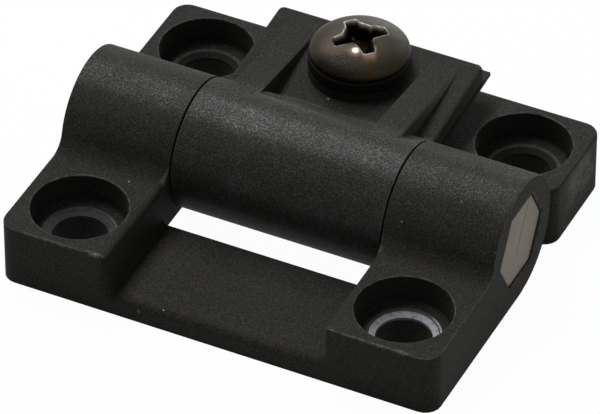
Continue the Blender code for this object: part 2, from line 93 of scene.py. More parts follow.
class Link:
    """An output socket that stands in Python sums, each of which adds its Math node."""

    def __init__(self, finish, socket):
        self.finish = finish
        self.socket = socket

    def output(self, name):
        return Link(self.finish, self.socket.node.outputs[name])

    def _math(self, operation, *values):
        return self.finish.node("ShaderNodeMath", {"operation": operation}, values)

    def __add__(self, other):
        return self._math("ADD", self, other)

    def __radd__(self, other):
        return self._math("ADD", other, self)

    def __sub__(self, other):
        return self._math("SUBTRACT", self, other)

    def __rsub__(self, other):
        return self._math("SUBTRACT", other, self)

    def __mul__(self, other):
        return self._math("MULTIPLY", self, other)

    def __rmul__(self, other):
        return self._math("MULTIPLY", other, self)

    def __pow__(self, other):
        return self._math("POWER", self, other)

    def __abs__(self):
        return self._math("ABSOLUTE", self)

    def at_least(self, other):
        return self._math("MAXIMUM", self, other)

    def at_most(self, other):
        return self._math("MINIMUM", self, other)

    def ramp(self, low, high):
        """0 below low, 1 above high and smooth between. Falls instead where low is over high."""
        settings = {"interpolation_type": "SMOOTHSTEP"}
        return self.finish.node(
            "ShaderNodeMapRange", settings, {"Value": self, "From Min": low, "From Max": high}
        )


class Finish:
    """The nodes of one material, which read Object coordinates, or of the world."""

    def __init__(self, name="", world=None):
        self.owner = world or bpy.data.materials.new(name)
        self.owner.use_nodes = True
        self.tree = self.owner.node_tree
        self.tree.nodes.clear()
        self.place = None if world else self.node("ShaderNodeTexCoord", output="Object")

    def node(self, kind, settings=None, inputs=(), output=0):
        """Adds any node: its settings first, then the values or links of its sockets."""
        made = self.tree.nodes.new(kind)
        for key, value in (settings or {}).items():
            setattr(made, key, value)
        pairs = inputs.items() if isinstance(inputs, dict) else enumerate(inputs)
        for socket, value in pairs:
            if isinstance(value, Link):
                self.tree.links.new(value.socket, made.inputs[socket])
            else:
                made.inputs[socket].default_value = value
        return Link(self, made.outputs[output]) if made.outputs else made

    def noise(self, scale, detail=2.0, roughness=0.5, place=None):
        inputs = {
            "Vector": place or self.place,
            "Scale": scale,
            "Detail": detail,
            "Roughness": roughness,
        }
        return self.node("ShaderNodeTexNoise", inputs=inputs)

    def cells(self, scale):
        """Distance to the nearest of scattered points, and their colours as another output."""
        return self.node("ShaderNodeTexVoronoi", inputs={"Vector": self.place, "Scale": scale})

    def axes(self):
        """The X, Y and Z of the surface point."""
        parts = self.node("ShaderNodeSeparateXYZ", inputs=(self.place,))
        return parts, parts.output("Y"), parts.output("Z")

    def stretched(self, scale, centre=(0, 0, 0)):
        """The place, counted from centre and scaled along each axis."""
        moved = self.node(
            "ShaderNodeVectorMath", {"operation": "SUBTRACT"}, (self.place, centre)
        )
        return self.node("ShaderNodeMapping", inputs={"Vector": moved, "Scale": scale})

    def distance(self, first, second=(0, 0, 0)):
        settings = {"operation": "DISTANCE"}
        return self.node("ShaderNodeVectorMath", settings, (first, second), output="Value")

    def attribute(self, name):
        """A number that the piece's own mesh holds."""
        settings = {"attribute_type": "GEOMETRY", "attribute_name": name}
        return self.node("ShaderNodeAttribute", settings, output="Fac")

    def mix(self, factor, first, second):
        """Blends two colours."""
        inputs = {"Factor": factor, 6: first, 7: second}
        return self.node("ShaderNodeMix", {"data_type": "RGBA"}, inputs, output=2)

    def bump(self, height, distance):
        return self.node("ShaderNodeBump", inputs={"Height": height, "Distance": distance})

    def surface(self, **sockets):
        """Ends the material in one Principled shader. Underscores stand for spaces."""
        values = {key.replace("_", " "): value for key, value in sockets.items()}
        shader = self.node("ShaderNodeBsdfPrincipled", inputs=values)
        self.node("ShaderNodeOutputMaterial", inputs={"Surface": shader})
        return self.owner


def colour(rgb, factor=1.0):
    """A tone as a socket takes it, made darker or lighter by factor."""
    return (*(channel * factor for channel in rgb), 1.0)


def link_mesh(name, shape):
    mesh = bpy.data.meshes.new(name)
    shape.to_mesh(mesh)
    shape.free()
    piece = bpy.data.objects.new(name, mesh)
    bpy.context.scene.collection.objects.link(piece)
    return piece


def smooth(piece, angle):
    piece.data.shade_smooth()
    piece.data.set_sharp_from_angle(angle=angle)


# Sharp rims of the skins: distance of their plane from the middle, span from the pin, rounding
RIMS = (
    (LEAF_END_X, 5.6 * MM, 7.3 * MM, 0.3 * MM),
    (16.5 * MM, 8.0 * MM, 10.2 * MM, 0.18 * MM),
    (16.2 * MM, 8.0 * MM, 10.2 * MM, 0.18 * MM),
)


def mark_worn_edges(shape):
    """Gives each corner of the narrow faces that round an outer edge a worn_edge of 0 to 1."""
    layer = shape.loops.layers.float.new("worn_edge")
    narrow = 0.3 * MM
    bend = radians(4)
    rounded = set()
    for face in shape.faces:
        longest = max(face.edges, key=lambda edge: edge.calc_length())
        if face.calc_area() / longest.calc_length() > narrow:
            continue
        if len(longest.link_faces) == 2 and longest.calc_face_angle_signed() > bend:
            rounded.add(face)
    for face in rounded:
        for loop in face.loops:
            around = loop.vert.link_faces
            loop[layer] = sum(other in rounded for other in around) / len(around)


def round_rims(shape):
    """Rounds the sharp outer edges that lie in the planes of RIMS, and merges what then meets."""
    in_plane = 0.02 * MM
    sharp = radians(30)
    for plane, nearest, farthest, offset in RIMS:
        edges = []
        for edge in shape.edges:
            if not all(abs(abs(vert.co.x) - plane) < in_plane for vert in edge.verts):
                continue
            middle = (edge.verts[0].co + edge.verts[1].co) / 2
            away = hypot(middle.y - PIN_Y, middle.z - AXIS_Z)
            if nearest < away < farthest and edge.calc_face_angle_signed(0) > sharp:
                edges.append(edge)
        if edges:
            bmesh.ops.bevel(
                shape, geom=edges, offset=offset, segments=2, profile=0.5, material=-1,
                affect="EDGES", clamp_overlap=True,
            )
    bmesh.ops.remove_doubles(shape, verts=shape.verts, dist=MERGE)


def refined_copy(name, node, edges=False):
    """A merged copy of a solid, with flat faces made whole and smooth between sharp edges."""
    shape = bmesh.new()
    shape.from_mesh(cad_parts[node].data)
    bmesh.ops.remove_doubles(shape, verts=shape.verts, dist=MERGE)
    flat = radians(0.4)
    bmesh.ops.dissolve_limit(shape, angle_limit=flat, verts=shape.verts, edges=shape.edges)
    if edges:
        round_rims(shape)
        mark_worn_edges(shape)
    piece = link_mesh(name, shape)
    piece.data.materials.clear()
    smooth(piece, SKIN_SMOOTH)
    weighting = piece.modifiers.new("even_flats", "WEIGHTED_NORMAL")
    weighting.mode = "FACE_AREA"
    weighting.weight = 100
    weighting.keep_sharp = True
    return piece


def dress(piece, material, body, slot, *replaced):
    piece.data.materials.append(material)
    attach(piece, body)
    if replaced:
        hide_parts(*replaced)


# Pale marks on the black moulding: middle, size along X, Y and Z, and strength
SCUFFS = (
    ((-18.6 * MM, -28.0 * MM, 9.6 * MM), (1.9 * MM, 0.6 * MM, 0.5 * MM), 0.9),
    ((-25.5 * MM, -28.2 * MM, 9.6 * MM), (8.5 * MM, 0.4 * MM, 0.35 * MM), 0.4),
    ((24.5 * MM, -28.2 * MM, 9.6 * MM), (8.6 * MM, 0.4 * MM, 0.35 * MM), 0.6),
    ((17.4 * MM, -28.0 * MM, 9.6 * MM), (1.2 * MM, 0.8 * MM, 0.4 * MM), 0.6),
    ((28.5 * MM, -28.0 * MM, 9.5 * MM), (2.2 * MM, 0.5 * MM, 0.4 * MM), 0.6),
    ((6.9 * MM, -26.6 * MM, 2.7 * MM), (2.6 * MM, 0.5 * MM, 0.5 * MM), 0.7),
    ((-11.6 * MM, -28.1 * MM, 2.0 * MM), (0.35 * MM, 0.3 * MM, 0.5 * MM), 0.7),
    ((20.5 * MM, -9.8 * MM, 12.0 * MM), (1.1 * MM, 0.7 * MM, 0.5 * MM), 0.35),
)

# Pale patches on the clamping leaf's right end, given in the same way
PALE_PATCHES = (((33.5 * MM, 21.0 * MM, 6.0 * MM), (0.6 * MM, 8.5 * MM, 5.0 * MM), 0.55),)

# Holes, with the strength of the pale ring in each countersink, partly rubbed by a screw head and
# partly a painted reflection
SEATS = (
    (HOLE_X, -HOLE_Y, 1.0), (-HOLE_X, -HOLE_Y, 0.12), (HOLE_X, HOLE_Y, 0), (-HOLE_X, HOLE_Y, 0)
)


def seat_tones(finish, base, settings):
    """Countersinks with a painted highlight on the lip, painted shade in the cone, and a pale ring
    that is partly rubbed by a screw head and partly a painted reflection.
    """
    x, y, z = finish.axes()
    level = z.ramp(SEAT_TOP + 0.1 * MM, SEAT_TOP) * z.ramp(SEAT_FOOT - 0.2 * MM, SEAT_FOOT)
    patches = finish.noise(1300.0, 3.0, 0.7).ramp(0.25, 0.55) * 0.6 + 0.4
    for hole_x, hole_y, strength in SEATS:
        dx = x - hole_x
        dy = y - hole_y
        radius = (dx * dx + dy * dy) ** 0.5
        # Painted shade in the cone, and a painted highlight along the lip
        shaded_cone = radius.ramp(SHADED_CONE_OUTER + 0.1 * MM, SHADED_CONE_OUTER)
        shaded_cone = shaded_cone * radius.ramp(SHADED_CONE_INNER - 0.15 * MM, SHADED_CONE_INNER) * level
        lit_lip = abs(radius - LIT_LIP_RADIUS).ramp(0.35 * MM, 0.1 * MM) * level
        base = finish.mix(shaded_cone * 0.6, base, colour(settings.colour_dark, 0.3))
        base = finish.mix(lit_lip * patches * 0.22, base, colour(settings.colour_scuff_and_highlight))
        if strength:
            # The ring is partly rubbed pale and partly a painted reflection; its bright edge on one
            # side only is a painted highlight
            rubbed = abs(radius - RUBBED_RADIUS).ramp(0.52 * MM, 0.36 * MM)
            edge = abs(radius - GLINT_EDGE_RADIUS).ramp(0.16 * MM, 0.08 * MM)
            edge = edge * (dx - dy * 0.2).ramp(0.5 * MM, 2.5 * MM)
            pale = rubbed.at_least(edge) * level * patches * strength
            base = finish.mix(pale, base, colour(settings.colour_rubbed_and_glint))
    return base


def black_moulding(name, settings, polish):
    """Grained black acetal, smoother on the turned barrels, with worn edges, pale scuffs and
    patches, and painted highlight and shade in the countersinks.
    """
    finish = Finish(name)
    x, y, z = finish.axes()
    pebbles = finish.noise(1 / settings.grain_size, 2.0, 0.65)
    fine = finish.noise(2.3 / settings.grain_size, 1.0, 0.5)
    blotch = finish.noise(210.0, 4.0, 0.62)
    cloud = finish.noise(55.0, 2.0, 0.5)
    tone = (blotch * 0.5 + cloud * 0.5).ramp(0.34, 0.66)
    base = finish.mix(tone, colour(settings.colour_dark), colour(settings.colour_light))
    base = finish.mix(pebbles.ramp(0.48, 0.72) * 0.65, base, colour(settings.colour_grain))
    base = finish.mix(pebbles.ramp(0.46, 0.3) * 0.6, base, colour(settings.colour_dark, 0.3))

    edge = finish.attribute("worn_edge")
    worn = edge * finish.noise(700.0, 3.0, 0.6).ramp(0.3, 0.62)
    base = finish.mix(worn * settings.edge_wear, base, colour(settings.colour_scuff_and_highlight))

    scratches = finish.noise(1500.0, 4.0, 0.75).ramp(0.4, 0.62)
    patch_pattern = (blotch * 0.6 + scratches * 0.15).ramp(0.22, 0.5)
    for marks, pattern in ((SCUFFS, scratches), (PALE_PATCHES, patch_pattern)):
        for middle, size, strength in marks:
            scale = tuple(1 / side for side in size)
            spot = finish.distance(finish.stretched(scale, centre=middle))
            factor = spot.ramp(1.0, 0.25) * pattern * strength
            base = finish.mix(factor, base, colour(settings.colour_scuff_and_highlight))
    base = seat_tones(finish, base, settings)

    dust = finish.cells(260.0)
    speck = dust.ramp(0.045, 0.025) * dust.output("Color").ramp(0.72, 0.76)
    base = finish.mix(speck * 0.8, base, colour(settings.colour_dust))

    dy = y - PIN_Y
    dz = z - AXIS_Z
    radius = (dy * dy + dz * dz) ** 0.5
    barrel = radius.ramp(BARREL_RADIUS + 0.9 * MM, BARREL_RADIUS + 0.1 * MM)
    barrel = barrel * abs(x).ramp(LEAF_END_X - 0.1 * MM, LEAF_END_X - 0.3 * MM)
    sparkle = finish.cells(1 / (0.8 * settings.grain_size)).output("Color").ramp(0.6, 1.0)
    glitter = 0.25 + pebbles.ramp(0.42, 0.68) * 1.1 + sparkle * blotch.ramp(0.4, 0.65) * 2.2
    sheen = barrel * polish * glitter
    rough = settings.roughness + (blotch - 0.5) * 0.16 + (fine - 0.5) * 0.25
    return finish.surface(
        Base_Color=base,
        Roughness=rough,
        Specular_IOR_Level=settings.specular,
        Coat_Weight=sheen + worn * 0.01,
        Coat_Roughness=settings.sheen_roughness,
        Coat_IOR=settings.sheen_index,
        Normal=finish.bump(pebbles * 0.7 + fine * 0.3, settings.grain_depth),
    )


def bearing_plastic(name, settings):
    finish = Finish(name)
    cloud = finish.noise(300.0, 3.0, 0.6)
    grain = finish.noise(5000.0, 2.0, 0.5)
    base = finish.mix(cloud.ramp(0.3, 0.7), colour(settings.sleeve, 0.85), colour(settings.sleeve))
    return finish.surface(
        Base_Color=base,
        Roughness=0.45 + (grain - 0.5) * 0.2,
        Normal=finish.bump(grain, 0.01 * MM),
    )


def cast_metal(settings):
    """Dull warm-grey cast metal with a fine witness line across each end."""
    finish = Finish("cast_shaft")
    x, y, z = finish.axes()
    cloud = finish.noise(220.0, 3.0, 0.6)
    grain = finish.noise(3600.0, 3.0, 0.6)
    along = finish.noise(700.0, 3.0, 0.6, place=finish.stretched((0.05, 1.0, 1.0)))
    base = finish.mix(
        (cloud * 0.6 + grain * 0.4).ramp(0.35, 0.65),
        colour(settings.shaft, 0.9),
        colour(settings.shaft, 1.08),
    )
    dy = y - PIN_Y
    dz = z - AXIS_Z
    slope = radians(60)
    across = dy * sin(slope) - dz * cos(slope)
    upward = dy * cos(slope) + dz * sin(slope)
    wander = (finish.noise(300.0, 2.0, 0.5) - 0.5) * (0.25 * MM)
    end_face = abs(x).ramp(SHAFT_HIGH[0] - 0.5 * MM, SHAFT_HIGH[0] - 0.2 * MM)
    line = abs(across + wander).ramp(0.15 * MM, 0.07 * MM)
    line = line * end_face * (upward.ramp(-4.0 * MM, 0.5 * MM) * 0.7 + 0.25)
    base = finish.mix(line, base, colour(settings.shaft, 0.2))
    rim = abs(upward).ramp(5.4 * MM, 6.6 * MM) * 0.25
    base = finish.mix(rim, base, colour(settings.shaft, 0.7))
    return finish.surface(
        Base_Color=base,
        Metallic=settings.shaft_metallic,
        Roughness=0.62 + (grain - 0.5) * 0.2 + (along - 0.5) * 0.1,
        Normal=finish.bump(grain * 0.6 + along * 0.4 - line, 0.015 * MM),
    )


# On the screw's dome: a patch of painted shade, a bare dent with a painted glint, and how far right
# the painted highlight band lies
SHADE_SPOT = (4.2 * MM, SCREW_Y + 2.8 * MM, HEAD_HIGH[2])
BARE_GLINT_SPOT = (0.8 * MM, SCREW_Y - 3.0 * MM, HEAD_HIGH[2])
HIGHLIGHT_BAND_X = 0.9 * MM


def aged_steel_with_painted_light(settings):
    """Bronze-grey plated steel with painted reflection and shade from side to side, a painted
    highlight band and glint, and painted shade down in its recess, whose rim is worn bright.
    """
    finish = Finish("aged_screw_with_painted_light")
    x, y, z = finish.axes()
    turn = settings.shading_turn
    dy = y - SCREW_Y
    right = x * cos(turn) + dy * sin(turn)
    back = dy * cos(turn) - x * sin(turn)
    radius = (x * x + dy * dy) ** 0.5
    blotch = finish.noise(330.0, 4.0, 0.6)
    patch = finish.noise(150.0, 2.0, 0.5)
    grain = finish.noise(3800.0, 3.0, 0.65)
    rings = finish.node(
        "ShaderNodeTexNoise", {"noise_dimensions": "1D"},
        {"W": radius, "Scale": 3200.0, "Detail": 3.0},
    )

    drift = (patch - 0.5) * (2.5 * MM) + (blotch - 0.5) * (0.6 * MM)
    left = right * -1.0
    front = back * -1.0
    # Painted reflection and shade in the plating's own tints: bronze towards the left, olive
    # towards the right, silver on the far side
    base = finish.mix(
        (left + drift).ramp(-1.0 * MM, 5.0 * MM), colour(settings.olive), colour(settings.bronze)
    )
    base = finish.mix((back + drift).ramp(0.5 * MM, 5.5 * MM), base, colour(settings.silver_reflection))
    # Painted shade on the near side, and a patch of painted shade on the right
    shade = (front + drift).ramp(1.5 * MM, 4.3 * MM) * (right + drift).ramp(1.5 * MM, -2.5 * MM)
    spot_shade = finish.distance(finish.place, SHADE_SPOT)
    shade = shade.at_least(spot_shade.ramp(3.6 * MM, 1.2 * MM) * 0.8)
    base = finish.mix(shade * 0.92, base, colour(settings.dark_olive_and_shade))
    # Painted highlight: a warm band in front of the recess, rose near it and ochre further out
    band = abs(right - HIGHLIGHT_BAND_X + back * 0.1 + drift * 0.25).ramp(1.35 * MM, 0.45 * MM)
    band = band * front.ramp(1.6 * MM, 2.4 * MM)
    warm = finish.mix(
        front.ramp(2.8 * MM, 5.4 * MM), colour(settings.rose_highlight), colour(settings.ochre_and_highlight)
    )
    base = finish.mix(band * 0.9, base, warm)

    speckle = finish.noise(4200.0, 2.0, 0.6).ramp(0.42, 0.66)
    base = finish.mix(speckle * 0.3, base, colour(settings.bronze))
    base = finish.mix(blotch.ramp(0.5, 0.8) * 0.25, base, colour(settings.dark_olive_and_shade))
    foot = z.ramp(HEAD_HIGH[2] - 2.2 * MM, HEAD_HIGH[2] - 2.6 * MM) * 0.45
    base = finish.mix(foot, base, colour(settings.ochre_and_highlight))

    # Painted shade down in the recess
    recess = finish.attribute("recess")
    base = finish.mix(recess.ramp(0.0, 0.55), base, colour(settings.recess))
    rim = finish.attribute("recess_rim") * (patch * 0.5 + blotch * 0.5).ramp(0.4, 0.56)
    base = finish.mix(rim * 0.85, base, colour(settings.worn))
    # Bare metal on a dent, with a rose painted highlight round it and a painted glint in its middle
    glint_distance = finish.distance(finish.place, BARE_GLINT_SPOT)
    base = finish.mix(glint_distance.ramp(1.5 * MM, 0.3 * MM) * 0.5, base, colour(settings.rose_highlight))
    glint = glint_distance.ramp(0.7 * MM, 0.15 * MM)
    base = finish.mix(glint, base, colour(settings.worn))

    rough = settings.screw_roughness + (grain - 0.5) * 0.25 + (blotch - 0.5) * 0.12
    rough = rough - rim * 0.1 - glint * 0.28
    return finish.surface(
        Base_Color=base,
        Metallic=1.0,
        Roughness=rough,
        Normal=finish.bump(grain * 0.5 + rings * 0.5, 0.012 * MM),
    )


def black_washer(settings):
    finish = Finish("black_washer")
    grain = finish.noise(2600.0, 3.0, 0.6)
    cloud = finish.noise(500.0, 2.0, 0.5)
    base = finish.mix(cloud, colour(settings.washer, 0.7), colour(settings.washer, 1.3))
    return finish.surface(
        Base_Color=base,
        Roughness=0.6 + (grain - 0.5) * 0.3,
        Specular_IOR_Level=0.06,
        Normal=finish.bump(grain, 0.02 * MM),
    )


def zinc_plate(settings):
    finish = Finish("zinc_nut")
    grain = finish.noise(3000.0, 3.0, 0.6)
    cloud = finish.noise(500.0, 4.0, 0.6)
    base = finish.mix(cloud.ramp(0.3, 0.7), colour(settings.zinc, 0.75), colour(settings.zinc))
    return finish.surface(
        Base_Color=base,
        Metallic=1.0,
        Roughness=0.4 + (cloud - 0.5) * 0.3,
        Normal=finish.bump(grain, 0.01 * MM),
    )


def soft_max(a, b, blend):
    """The larger of two numbers, rounded over where they are within blend of each other."""
    nearness = max(blend - abs(a - b), 0) / blend
    return max(a, b) + nearness * nearness * blend / 4


def soft_min(a, b, blend):
    return -soft_max(-a, -b, blend)


# The recess's middle on the head, then in its own place the worn middle and a chipped corner
RECESS_X, RECESS_Y = -0.15 * MM, 0.33 * MM
WORN_X, WORN_Y = -0.35 * MM, 0.5 * MM
CHIP_X, CHIP_Y, CHIP_RADIUS = 1.3 * MM, 2.35 * MM, 0.75 * MM
# How much wider each side of a wing gets towards the middle
WING_FLARE = 0.16

# Gap between the washer and the head, and the chamfer of the shank's tip
HEAD_GAP = 0.15 * MM
TIP_CHAMFER = 0.4 * MM

# Low swellings of the battered dome: X and Y from the screw's axis, height and spread
HUMPS = ((0.55 * MM, -2.25 * MM, 0.15 * MM, 0.9 * MM), (1.9 * MM, -0.1 * MM, 0.08 * MM, 0.8 * MM))


def recess_inside(x, y, settings):
    """How far a point of the head is inside the outline of the worn cross recess."""
    turn = settings.recess_turn
    x -= RECESS_X
    y -= RECESS_Y
    along = x * cos(turn) + y * sin(turn)
    across = y * cos(turn) - x * sin(turn)
    inside = settings.worn_middle - hypot(x - WORN_X, y - WORN_Y)
    inside = soft_max(inside, CHIP_RADIUS - hypot(x - CHIP_X, y - CHIP_Y), 0.4 * MM)
    for far, side in ((abs(along), abs(across)), (abs(across), abs(along))):
        half = settings.wing_width / 2 + WING_FLARE * (settings.wing_reach - far)
        wing = soft_min(half - side, settings.wing_reach - far, 0.35 * MM)
        inside = soft_max(inside, wing, 0.5 * MM)
    return inside


def boundary_ring(shape, radius, height):
    """Extrudes the open edge and sets it to a radius and height about the screw."""
    rim = [edge for edge in shape.edges if edge.is_boundary]
    grown = bmesh.ops.extrude_edge_only(shape, edges=rim)["geom"]
    for vert in grown:
        if isinstance(vert, bmesh.types.BMVert):
            out = Vector((vert.co.x, vert.co.y, 0)).normalized() * radius
            vert.co = (out.x, out.y, height)


def screw_head(settings):
    """The domed head with its recess, and the shank's core. Two layers mark the recess's painted
    shade and its rim.
    """
    shape = bmesh.new()
    recess_shade_layer = shape.verts.layers.float.new("recess")
    rim_layer = shape.verts.layers.float.new("recess_rim")
    count = settings.head_steps
    bmesh.ops.create_grid(shape, x_segments=count, y_segments=count, size=1.0)
    reach = (HEAD_HIGH[0] - HEAD_LOW[0]) / 2
    top = HEAD_HIGH[2]
    crown = settings.crown
    # The dome is a little fuller than round. The painted shade in the recess deepens over the
    # breadth of its shadow
    fullness = 1.25
    floor_round = 0.3 * MM
    shadow = 0.5 * MM
    for vert in shape.verts:
        u, v = vert.co.x, vert.co.y
        x = u * sqrt(1 - v * v / 2) * reach
        y = v * sqrt(1 - u * u / 2) * reach
        share = min((x * x + y * y) / (reach * reach), 1.0)
        z = top - crown + crown * sqrt(1 - share**fullness)
        for hump_x, hump_y, height, spread in HUMPS:
            away = hypot(x - hump_x, y - hump_y) / spread
            z += height * exp(-away * away)
        inside = recess_inside(x, y, settings)
        depth = soft_max(inside * settings.wall_slope, 0, settings.recess_wear)
        depth = soft_min(depth, settings.recess_depth, floor_round)
        vert.co = (x, y, min(z, top) - depth)
        vert[recess_shade_layer] = min(max(inside / shadow, 0), 1)
        vert[rim_layer] = exp(-((inside / settings.rim_wear) ** 2))
    foot = WASHER_HIGH[2] + HEAD_GAP
    shank = settings.thread_radius - settings.thread_depth
    end = HEAD_LOW[2]
    for radius, height in (
        (reach, top - crown - 0.1 * MM),
        (reach - 0.04 * MM, foot + 0.06 * MM),
        (reach - 0.12 * MM, foot),
        (shank, foot),
        (shank, end + TIP_CHAMFER),
        (shank - TIP_CHAMFER, end),
    ):
        boundary_ring(shape, radius, height)
    bmesh.ops.holes_fill(shape, edges=[edge for edge in shape.edges if edge.is_boundary])
    return shape


def screw_thread(settings):
    """One ridge wound up the shank, sunk a little into its core."""
    shape = bmesh.new()
    pitch = settings.thread_pitch
    start = HEAD_LOW[2] + 0.1 * MM
    turns = int((WASHER_HIGH[2] - start - pitch) / pitch)
    steps = 32
    sunk = 0.05 * MM
    half_crest = 0.08 * MM
    half_height = pitch * 0.44
    crest = settings.thread_radius
    root = crest - settings.thread_depth - sunk
    outline = (
        (root, start),
        (crest, start + half_height - half_crest),
        (crest, start + half_height + half_crest),
        (root, start + 2 * half_height),
    )
    section = shape.faces.new([shape.verts.new((r, 0, z)) for r, z in outline])
    bmesh.ops.spin(
        shape,
        geom=[section, *section.edges, *section.verts],
        cent=(0, 0, 0),
        axis=(0, 0, 1),
        dvec=(0, 0, pitch / steps),
        angle=2 * pi * turns,
        steps=steps * turns,
    )
    return shape


def screw_shape(settings):
    """The head with its threaded shank, standing on the screw's axis."""
    shape = screw_head(settings)
    thread = bpy.data.meshes.new("thread")
    wound = screw_thread(settings)
    wound.to_mesh(thread)
    wound.free()
    shape.from_mesh(thread)
    bpy.data.meshes.remove(thread)
    bmesh.ops.recalc_face_normals(shape, faces=shape.faces)
    bmesh.ops.translate(shape, verts=shape.verts, vec=(0, SCREW_Y, 0))
    return shape


def washer_shape():
    """A thick ring with rounded rims."""
    shape = bmesh.new()
    low, high = WASHER_LOW[2], WASHER_HIGH[2]
    bore = 3.52 * MM
    outer = (WASHER_HIGH[0] - WASHER_LOW[0]) / 2
    rounding = 0.25 * MM
    corners = [(bore, low), (outer, low), (outer, high), (bore, high)]
    section = [shape.verts.new((r, 0, z)) for r, z in corners]
    shape.faces.new(section)
    bmesh.ops.bevel(
        shape, geom=section, offset=rounding, segments=4, profile=0.5, material=-1,
        affect="VERTICES",
    )
    bmesh.ops.delete(shape, geom=shape.faces[:], context="FACES_ONLY")
    bmesh.ops.spin(
        shape, geom=shape.verts[:] + shape.edges[:], cent=(0, 0, 0), axis=(0, 0, 1),
        angle=2 * pi, steps=128, use_merge=True,
    )
    bmesh.ops.remove_doubles(shape, verts=shape.verts, dist=MERGE)
    bmesh.ops.recalc_face_normals(shape, faces=shape.faces)
    bmesh.ops.translate(shape, verts=shape.verts, vec=(0, SCREW_Y, 0))
    return shape


class MouldingSettings(bpy.types.PropertyGroup):
    """Finish of the two moulded leaves."""

    colour_dark: FloatVectorProperty(
        name="Dark tone", description="Darker tone of the black", subtype="COLOR",
        default=(0.0165, 0.0158, 0.0140), min=0, max=1,
    )
    colour_light: FloatVectorProperty(
        name="Light tone", description="Lighter tone of the black", subtype="COLOR",
        default=(0.0215, 0.0208, 0.0190), min=0, max=1,
    )
    colour_grain: FloatVectorProperty(
        name="Grain tone", description="Tone of the raised grain", subtype="COLOR",
        default=(0.062, 0.061, 0.058), min=0, max=1,
    )
    # Also the tone of the painted highlight on the countersinks' lips
    colour_scuff_and_highlight: FloatVectorProperty(
        name="Scuff tone", description="Pale tone of scuffs and worn edges", subtype="COLOR",
        default=(0.17, 0.168, 0.16), min=0, max=1,
    )
    # Tone of the pale countersink ring, partly rubbed and partly a painted reflection
    colour_rubbed_and_glint: FloatVectorProperty(
        name="Rubbed tone", description="Tone of a countersink rubbed by a screw head",
        subtype="COLOR", default=(0.34, 0.34, 0.37), min=0, max=1,
    )
    colour_dust: FloatVectorProperty(
        name="Dust tone", description="Tone of the specks of dust", subtype="COLOR",
        default=(0.4, 0.4, 0.38), min=0, max=1,
    )
    edge_wear: FloatProperty(
        name="Edge wear", description="How pale the rounded edges are rubbed", default=0.35,
        min=0, max=1,
    )
    roughness: FloatProperty(
        name="Roughness", description="Gloss of the grained skin", default=0.7, min=0, max=1
    )
    specular: FloatProperty(
        name="Specular", description="Strength of the reflections", default=0.05, min=0, max=1
    )
    barrel_sheen: FloatProperty(
        name="Barrel sheen", description="Polish of the clamping leaf's barrel", default=0.064,
        min=0, max=1,
    )
    knuckle_sheen: FloatProperty(
        name="Knuckle sheen", description="Polish of the swinging leaf's knuckles", default=0.037,
        min=0, max=1,
    )
    sheen_roughness: FloatProperty(
        name="Sheen roughness", description="Gloss of the polish", default=0.34, min=0, max=1
    )
    sheen_index: FloatProperty(
        name="Sheen index", description="Refraction index of the polish", default=2.2, min=1, max=3
    )
    grain_size: FloatProperty(
        name="Grain size", description="Spacing of the mould grain", default=0.2 * MM,
        unit="LENGTH", precision=5,
    )
    grain_depth: FloatProperty(
        name="Grain depth", description="Depth of the mould grain", default=0.03 * MM,
        unit="LENGTH", precision=5,
    )


class MetalSettings(bpy.types.PropertyGroup):
    """Finish of the shaft, sleeves, screw, washer and nut."""

    shaft: FloatVectorProperty(
        name="Shaft", description="Tone of the cast shaft", subtype="COLOR",
        default=(0.16, 0.14, 0.11), min=0, max=1,
    )
    shaft_metallic: FloatProperty(
        name="Shaft metal", description="How metallic the shaft is", default=0.8, min=0, max=1
    )
    sleeve: FloatVectorProperty(
        name="Sleeves", description="Tone of the bearing plastic", subtype="COLOR",
        default=(0.6, 0.58, 0.52), min=0, max=1,
    )
    # Direction across the screw of its painted reflection and shade
    shading_turn: FloatProperty(
        name="Patina turn", description="Direction in which the screw's age goes from side to side",
        default=radians(25.9), unit="ROTATION",
    )
    # Painted reflection on the far side of the screw
    silver_reflection: FloatVectorProperty(
        name="Silver", description="Brightest side of the screw", subtype="COLOR",
        default=(0.038, 0.036, 0.031), min=0, max=1,
    )
    # Also the painted reflection on the left side
    bronze: FloatVectorProperty(
        name="Bronze", description="Main tone of the screw", subtype="COLOR",
        default=(0.034, 0.029, 0.0225), min=0, max=1,
    )
    # Tone of the painted highlight band and round the bare dent
    rose_highlight: FloatVectorProperty(
        name="Rose", description="Warm band beside the recess", subtype="COLOR",
        default=(0.13, 0.09, 0.073), min=0, max=1,
    )
    # Also the painted shade on the right side
    olive: FloatVectorProperty(
        name="Olive", description="Green-grey side of the screw", subtype="COLOR",
        default=(0.0185, 0.016, 0.0102), min=0, max=1,
    )
    # Darkest blotches, also the painted shade on the near side
    dark_olive_and_shade: FloatVectorProperty(
        name="Dark olive", description="Darkest blotches of the screw", subtype="COLOR",
        default=(0.0052, 0.0049, 0.0036), min=0, max=1,
    )
    # Also the outer end of the painted highlight band
    ochre_and_highlight: FloatVectorProperty(
        name="Ochre", description="Tint along the head's lower edge", subtype="COLOR",
        default=(0.022, 0.015, 0.0075), min=0, max=1,
    )
    # Painted shade down in the recess
    recess: FloatVectorProperty(
        name="Recess", description="Tone down in the recess", subtype="COLOR",
        default=(0.0025, 0.0018, 0.0012), min=0, max=1,
    )
    # Also the colour of the painted glint on the dent
    worn: FloatVectorProperty(
        name="Worn rim", description="Bare metal along the recess's rim", subtype="COLOR",
        default=(0.3, 0.27, 0.23), min=0, max=1,
    )
    screw_roughness: FloatProperty(
        name="Screw roughness", description="Gloss of the screw", default=0.5, min=0, max=1
    )
    washer: FloatVectorProperty(
        name="Washer", description="Tone of the washer", subtype="COLOR",
        default=(0.0066, 0.0061, 0.005), min=0, max=1,
    )
    zinc: FloatVectorProperty(
        name="Zinc", description="Tone of the nut", subtype="COLOR",
        default=(0.42, 0.41, 0.38), min=0, max=1,
    )


